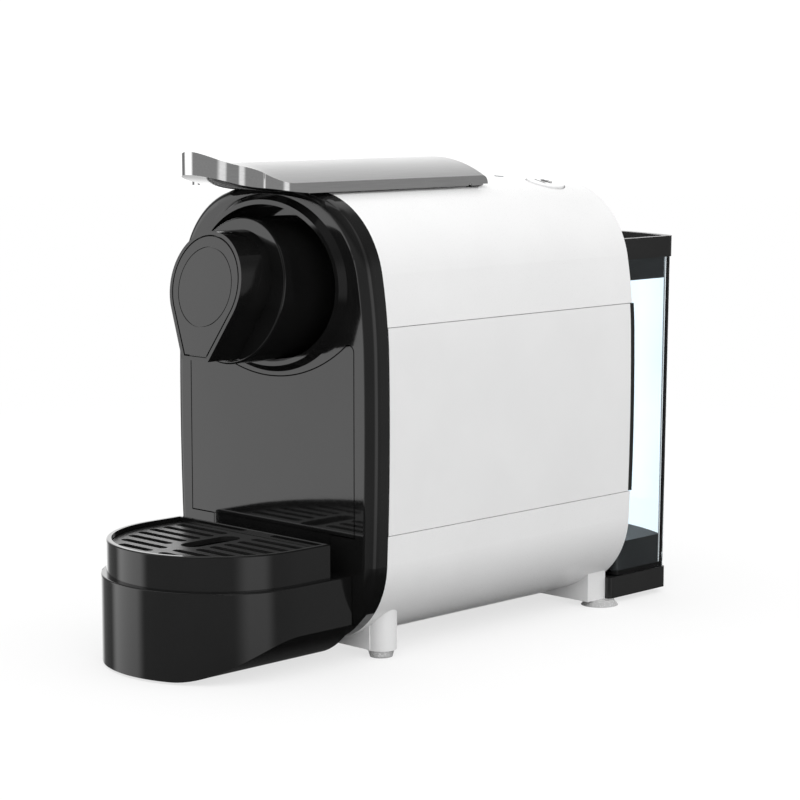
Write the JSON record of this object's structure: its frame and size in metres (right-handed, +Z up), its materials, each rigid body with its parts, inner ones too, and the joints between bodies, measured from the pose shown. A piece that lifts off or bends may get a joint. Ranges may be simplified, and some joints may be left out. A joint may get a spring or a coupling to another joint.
{
  "type": "pod coffee machine",
  "caption": "Narrow capsule coffee machine with an arched white body, gloss black front, silver lid lever, round cup tray, capsule bin and clear rear water tank.",
  "frame": {"origin": "middle of the footprint, on the surface the machine stands on", "axes": "+Z up, +Y from the cup tray to the water tank, +X to the machine's right as seen from the front"},
  "size_m": [0.1206, 0.2894, 0.207],
  "materials": {
    "white_shell": "satin",
    "gloss_black": "gloss",
    "matte_black": "satin",
    "silver_metal": "metallised, satin top and polished edge",
    "steel": "brushed",
    "clear_plastic": "clear",
    "clear_rubber": "frosted clear",
    "black_rubber": "matte",
    "engineering_plastic": "satin",
    "cast_aluminium": "cast",
    "copper_coil": "painted",
    "circuit_board": "satin",
    "electronic_parts": "matte"
  },
  "bodies": {
    "machine": {"upper_shell": "white_shell", "lower_shell": "white_shell", "side_panel_left": "white_shell", "side_panel_right": "white_shell", "chassis_base": "white_shell", "front_bezel": "gloss_black", "head_collar": "gloss_black", "brew_barrel": "gloss_black", "outlet_nose": "gloss_black", "outlet_cap": "gloss_black", "rear_cover": "matte_black", "tank_dock": "matte_black", "hinge_bracket": "matte_black", "capsule_chute": "matte_black", "drop_guide": "matte_black", "pump_shelf": "matte_black", "cord_gland": "matte_black", "dock_spigot": "matte_black", "lever_pin": "steel", "brew_frame": "steel", "piercing_plate": "steel", "chassis_screws": "steel", "indicator_lens": "clear_plastic", "foot_pads": "clear_rubber", "pump_mounts": "black_rubber", "pressure_hose": "black_rubber", "suction_hose": "black_rubber", "outlet_channel": "engineering_plastic", "outlet_spout": "engineering_plastic", "flow_meter": "engineering_plastic", "pump_body": "engineering_plastic", "thermoblock": "cast_aluminium", "pump_coil": "copper_coil", "control_board": "circuit_board", "button_board": "circuit_board", "board_parts": "electronic_parts", "button_switches": "electronic_parts"},
    "lever": {"lever_handle": "silver_metal", "lever_frame": "matte_black"},
    "chamber": {"brew_chamber": "engineering_plastic", "chamber_seal": "black_rubber", "drive_links": "steel"},
    "drawer": {"drip_tray_base": "gloss_black", "drip_tray_upper": "gloss_black", "bin_front": "gloss_black", "capsule_bin": "matte_black", "drawer_carrier": "matte_black"},
    "grille": {"cup_grille": "matte_black"},
    "tank": {"tank_body": "clear_plastic", "tank_base_cap": "matte_black", "tank_valve": "engineering_plastic", "valve_spring": "steel"},
    "lid": {"tank_lid": "matte_black"},
    "button_left": {"button_left": "gloss_black"},
    "button_right": {"button_right": "gloss_black"}
  },
  "joints": [
    {"name": "lever_lift", "type": "hinge", "parent": "machine", "child": "lever", "pos_m": [0, 0.02932, 0.1965], "axis": [-1, 0, 0], "range_deg": [0, 75]},
    {"name": "chamber_slide", "type": "slide", "parent": "machine", "child": "chamber", "axis": [0, 1, 0], "range_m": [0, 0.0305]},
    {"name": "drawer_slide", "type": "slide", "parent": "machine", "child": "drawer", "axis": [0, -1, 0], "range_m": [0, 0.1]},
    {"name": "grille_lift", "type": "slide", "parent": "drawer", "child": "grille", "axis": [0, 0, 1], "range_m": [0, 0.03]},
    {"name": "tank_lift", "type": "slide", "parent": "machine", "child": "tank", "axis": [0, 0, 1], "range_m": [0, 0.06]},
    {"name": "lid_lift", "type": "slide", "parent": "tank", "child": "lid", "axis": [0, 0, 1], "range_m": [0, 0.04]},
    {"name": "button_left_press", "type": "slide", "parent": "machine", "child": "button_left", "axis": [0.2358, 0, -0.9718], "range_m": [0, 0.0012], "stiffness_N_per_m": 300},
    {"name": "button_right_press", "type": "slide", "parent": "machine", "child": "button_right", "axis": [-0.2358, 0, -0.9718], "range_m": [0, 0.0012], "stiffness_N_per_m": 300}
  ],
  "couplings": [
    {"joint": "chamber_slide", "follows": "lever_lift", "m_per_rad": 0.0229}
  ]
}
